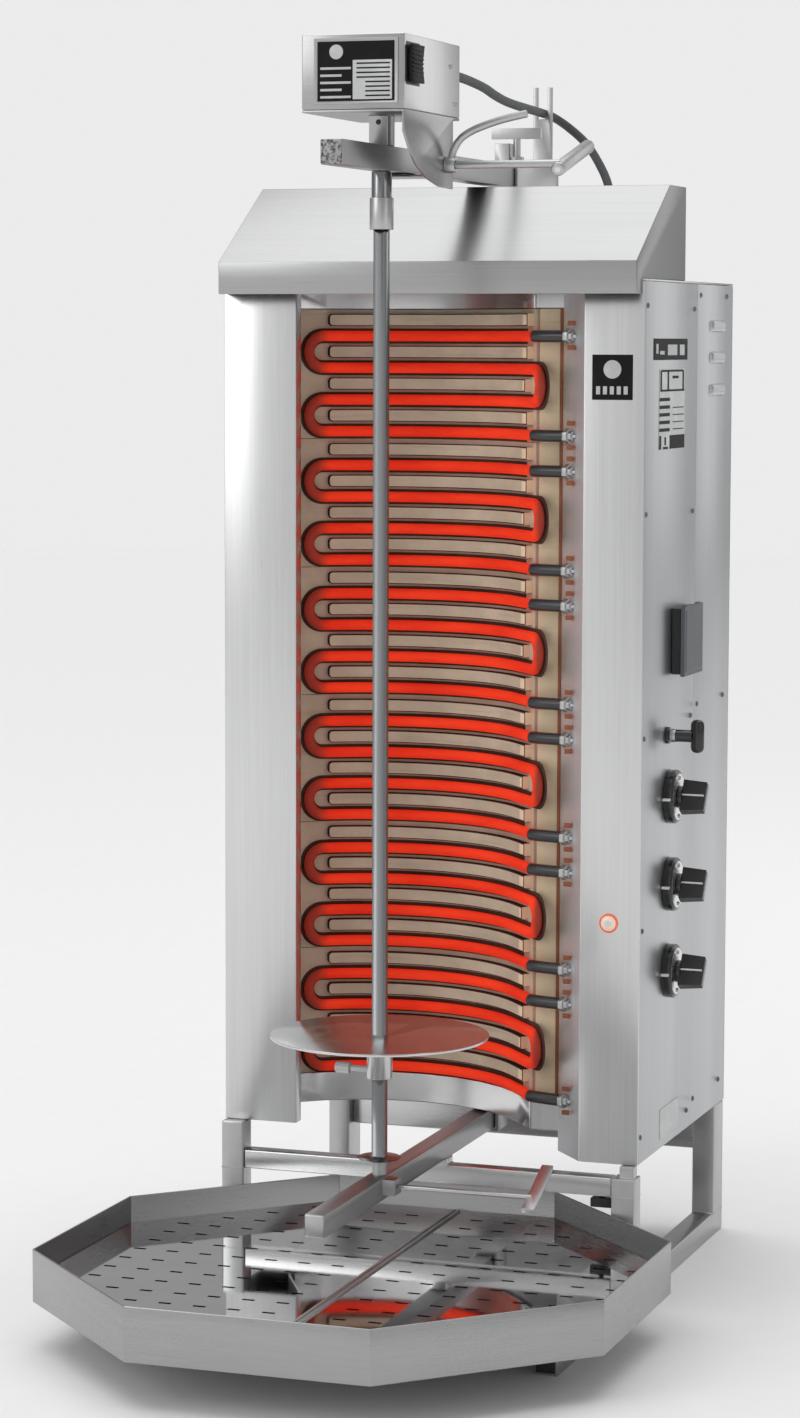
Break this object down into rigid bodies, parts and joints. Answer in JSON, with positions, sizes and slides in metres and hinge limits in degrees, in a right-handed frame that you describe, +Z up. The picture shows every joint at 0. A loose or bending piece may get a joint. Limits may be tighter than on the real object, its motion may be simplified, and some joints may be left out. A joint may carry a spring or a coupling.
{
  "type": "upright kebab grill",
  "caption": "Upright electric kebab grill with a curved ceramic heater wall, a motor-driven spit on sliding arms, an octagonal drip tray and side controls.",
  "frame": {"origin": "on the ground, in the middle of the footprint (bounding box bottom centre)", "axes": "+Z up, -Y out of the front where the spit and tray are, +X towards the control side"},
  "size_m": [0.592, 0.9188, 1.294],
  "materials": {
    "brushed_steel": "brushed stainless sheet and tube",
    "plain_steel": "plain mill-finish steel",
    "polished_steel": "polished stainless",
    "ceramic": "unglazed, scorched",
    "fibre_board": "pressed insulating board",
    "hot_element": "glowing red",
    "black_plastic": "semi-gloss black",
    "grey_plastic": "satin grey",
    "orange_lens": "lit lens",
    "cable_rubber": "smooth rubber sheath"
  },
  "bodies": {
    "housing": {"left_side_frame": "brushed_steel", "right_side_frame": "brushed_steel", "front_cross_bar": "brushed_steel", "rear_cross_bar": "brushed_steel", "left_front_panel": "brushed_steel", "left_side_cover": "brushed_steel", "control_side_cover": "brushed_steel", "rear_side_cover": "brushed_steel", "rear_cover": "plain_steel", "top_cover": "brushed_steel", "control_box": "brushed_steel", "switch_block": "black_plastic", "floor_plate": "plain_steel", "hood": "brushed_steel", "ceramic_panel_1": "ceramic", "ceramic_panel_2": "ceramic", "ceramic_panel_3": "ceramic", "ceramic_panel_4": "ceramic", "ceramic_panel_5": "ceramic", "ceramic_panel_6": "ceramic", "heating_element_1": "hot_element", "heating_element_2": "hot_element", "heating_element_3": "hot_element", "heating_element_4": "hot_element", "heating_element_5": "hot_element", "heating_element_6": "hot_element", "bottom_reflector": "polished_steel", "top_reflector": "polished_steel", "edge_strip": "fibre_board", "mast": "brushed_steel", "knob_bezel_1": "black_plastic", "knob_bezel_2": "black_plastic", "knob_bezel_3": "black_plastic", "socket_base": "black_plastic", "pilot_lamp": "orange_lens", "motor_cable": "cable_rubber"},
    "motor_arm": {"upper_arm": "brushed_steel", "motor_bracket": "brushed_steel", "motor_box": "brushed_steel", "gear_motor": "plain_steel"},
    "motor_switch": {"motor_switch": "black_plastic"},
    "spit": {"drive_shaft": "brushed_steel", "spit_bar": "brushed_steel"},
    "coupling_sleeve": {"coupling_sleeve": "brushed_steel"},
    "meat_disc": {"meat_disc": "polished_steel"},
    "disc_screw": {"disc_screw": "brushed_steel"},
    "lower_arm": {"lower_arm": "brushed_steel"},
    "lower_clamp_handle": {"lower_clamp_handle": "brushed_steel"},
    "clamp_handle": {"clamp_handle": "brushed_steel"},
    "release_lever": {"release_lever": "brushed_steel"},
    "arm_clamp_screw": {"arm_clamp_screw": "brushed_steel"},
    "knob_1": {"knob_1": "black_plastic"},
    "knob_2": {"knob_2": "black_plastic"},
    "knob_3": {"knob_3": "black_plastic"},
    "main_switch_handle": {"main_switch_handle": "black_plastic"},
    "socket_lid": {"socket_lid": "grey_plastic"},
    "drip_tray": {"drip_tray": "brushed_steel"},
    "tray_insert_left": {"tray_insert_left": "polished_steel"},
    "tray_insert_right": {"tray_insert_right": "polished_steel"},
    "tray_latch": {"tray_latch": "black_plastic"}
  },
  "joints": [
    {"name": "motor_arm_slide", "type": "slide", "parent": "housing", "child": "motor_arm", "axis": [0, 1, 0], "range_m": [-0.04, 0.06], "deforming": ["motor_cable"]},
    {"name": "lower_arm_slide", "type": "slide", "parent": "housing", "child": "lower_arm", "axis": [0, 1, 0], "range_m": [-0.04, 0.06]},
    {"name": "spit_spin", "type": "hinge", "parent": "motor_arm", "child": "spit", "pos_m": [0.015, -0.12836, 0.183], "axis": [0, 0, 1], "continuous": true},
    {"name": "sleeve_lift", "type": "slide", "parent": "spit", "child": "coupling_sleeve", "axis": [0, 0, 1], "range_m": [0, 0.018]},
    {"name": "disc_height", "type": "slide", "parent": "spit", "child": "meat_disc", "axis": [0, 0, 1], "range_m": [-0.065, 0.6]},
    {"name": "disc_screw_turn", "type": "hinge", "parent": "meat_disc", "child": "disc_screw", "pos_m": [-0.005, -0.12836, 0.2715], "axis": [1, 0, 0], "range_deg": [-180, 180]},
    {"name": "clamp_handle_turn", "type": "hinge", "parent": "motor_arm", "child": "clamp_handle", "pos_m": [0.061, -0.06836, 1.174], "axis": [1, 0, 0], "range_deg": [-25, 75]},
    {"name": "release_lever_turn", "type": "hinge", "parent": "motor_arm", "child": "release_lever", "pos_m": [0.066, -0.06836, 1.174], "axis": [1, 0, 0], "range_deg": [-40, 40]},
    {"name": "arm_clamp_turn", "type": "hinge", "parent": "housing", "child": "arm_clamp_screw", "pos_m": [0.016, 0.31464, 1.2], "axis": [0, 0, 1], "range_deg": [-180, 180]},
    {"name": "lower_clamp_turn", "type": "hinge", "parent": "lower_arm", "child": "lower_clamp_handle", "pos_m": [0.038, -0.13736, 0.156], "axis": [1, 0, 0], "range_deg": [-60, 60]},
    {"name": "knob_1_turn", "type": "hinge", "parent": "housing", "child": "knob_1", "pos_m": [0.24, 0.18314, 0.5216], "axis": [1, 0, 0], "range_deg": [0, 270]},
    {"name": "knob_2_turn", "type": "hinge", "parent": "housing", "child": "knob_2", "pos_m": [0.24, 0.18314, 0.4282], "axis": [1, 0, 0], "range_deg": [0, 270]},
    {"name": "knob_3_turn", "type": "hinge", "parent": "housing", "child": "knob_3", "pos_m": [0.24, 0.18314, 0.3353], "axis": [1, 0, 0], "range_deg": [0, 270]},
    {"name": "main_switch_turn", "type": "hinge", "parent": "housing", "child": "main_switch_handle", "pos_m": [0.24, 0.16964, 0.588], "axis": [1, 0, 0], "range_deg": [0, 90]},
    {"name": "socket_lid_hinge", "type": "hinge", "parent": "housing", "child": "socket_lid", "pos_m": [0.243, 0.21964, 0.722], "axis": [0, -1, 0], "range_deg": [0, 100]},
    {"name": "motor_switch_rock", "type": "hinge", "parent": "motor_arm", "child": "motor_switch", "pos_m": [0.0614, -0.16986, 1.266], "axis": [0, 1, 0], "range_deg": [-6, 6]},
    {"name": "tray_slide", "type": "slide", "parent": "housing", "child": "drip_tray", "axis": [0, -1, 0], "range_m": [0, 0.12]},
    {"name": "insert_left_lift", "type": "slide", "parent": "drip_tray", "child": "tray_insert_left", "axis": [0, 0, 1], "range_m": [0, 0.03]},
    {"name": "insert_right_lift", "type": "slide", "parent": "drip_tray", "child": "tray_insert_right", "axis": [0, 0, 1], "range_m": [0, 0.03]},
    {"name": "tray_latch_turn", "type": "hinge", "parent": "housing", "child": "tray_latch", "pos_m": [0.192, 0.06864, 0.11], "axis": [0, 0, 1], "range_deg": [0, 90]}
  ],
  "couplings": [
    {"joint": "lower_arm_slide", "follows": "motor_arm_slide", "ratio": 1}
  ]
}
